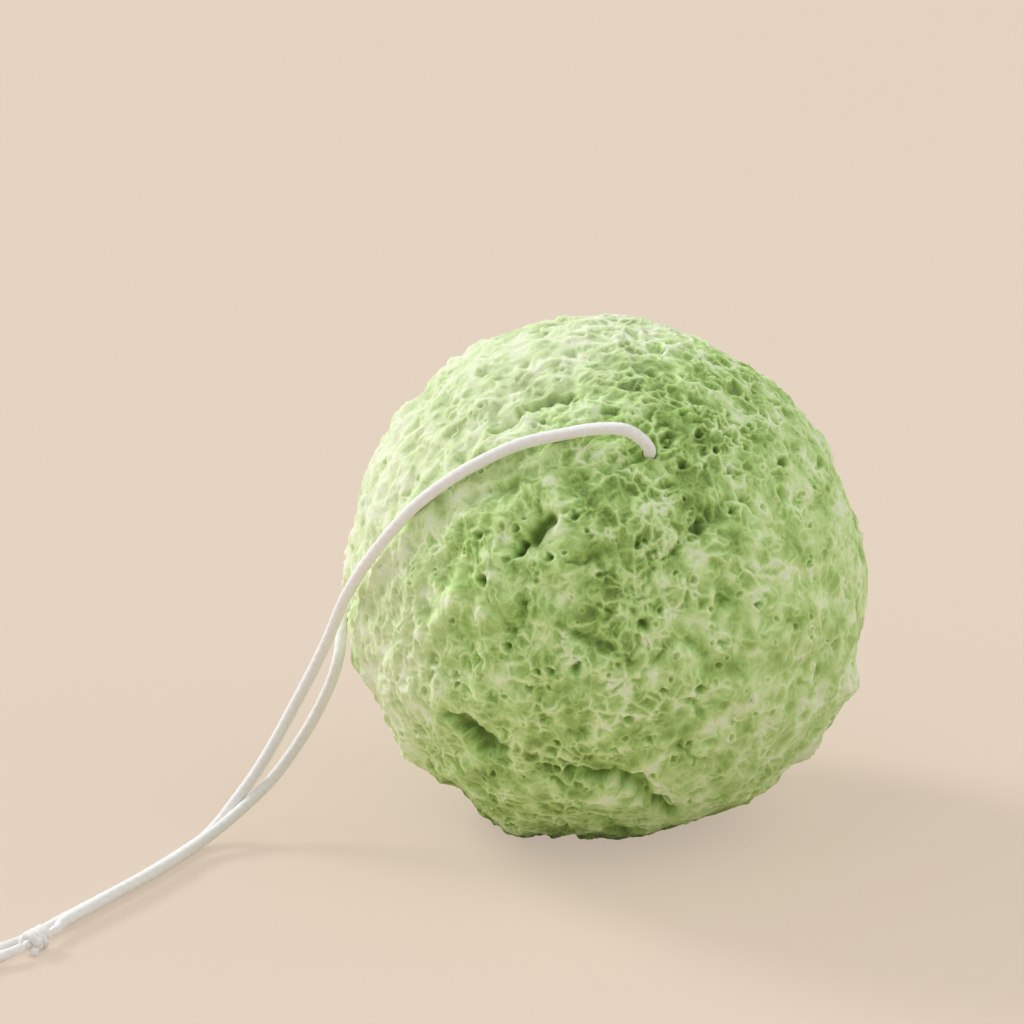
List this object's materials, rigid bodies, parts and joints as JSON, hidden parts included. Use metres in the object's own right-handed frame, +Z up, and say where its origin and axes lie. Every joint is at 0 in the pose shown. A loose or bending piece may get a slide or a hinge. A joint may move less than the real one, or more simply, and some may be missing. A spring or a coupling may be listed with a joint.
{
  "type": "konjac sponge",
  "caption": "Round konjac fibre sponge for washing the face, threaded on a cotton cord that is knotted into a loop for hanging it up to dry.",
  "frame": {"origin": "under the middle of the ball, on the surface that it stands on", "axes": "+Z up; -Y towards the viewer of the picture and +X to the viewer's right, so the cord is drawn to -X and -Y"},
  "size_m": [0.1475, 0.1168, 0.0773],
  "materials": {
    "sponge": "matte",
    "cotton": "matte"
  },
  "bodies": {
    "sponge": {"sponge_body": "sponge"},
    "cord": {"cord_core": "cotton", "cord_front": "cotton", "hanging_loop": "cotton", "cord_back": "cotton", "knot": "cotton", "cord_tails": "cotton"}
  },
  "joints": [
    {"name": "loop_swing", "type": "hinge", "parent": "sponge", "child": "cord", "pos_m": [0, 0, 0.0374], "axis": [-0.127, 0.7202, -0.682], "range_deg": [0, 210]}
  ]
}
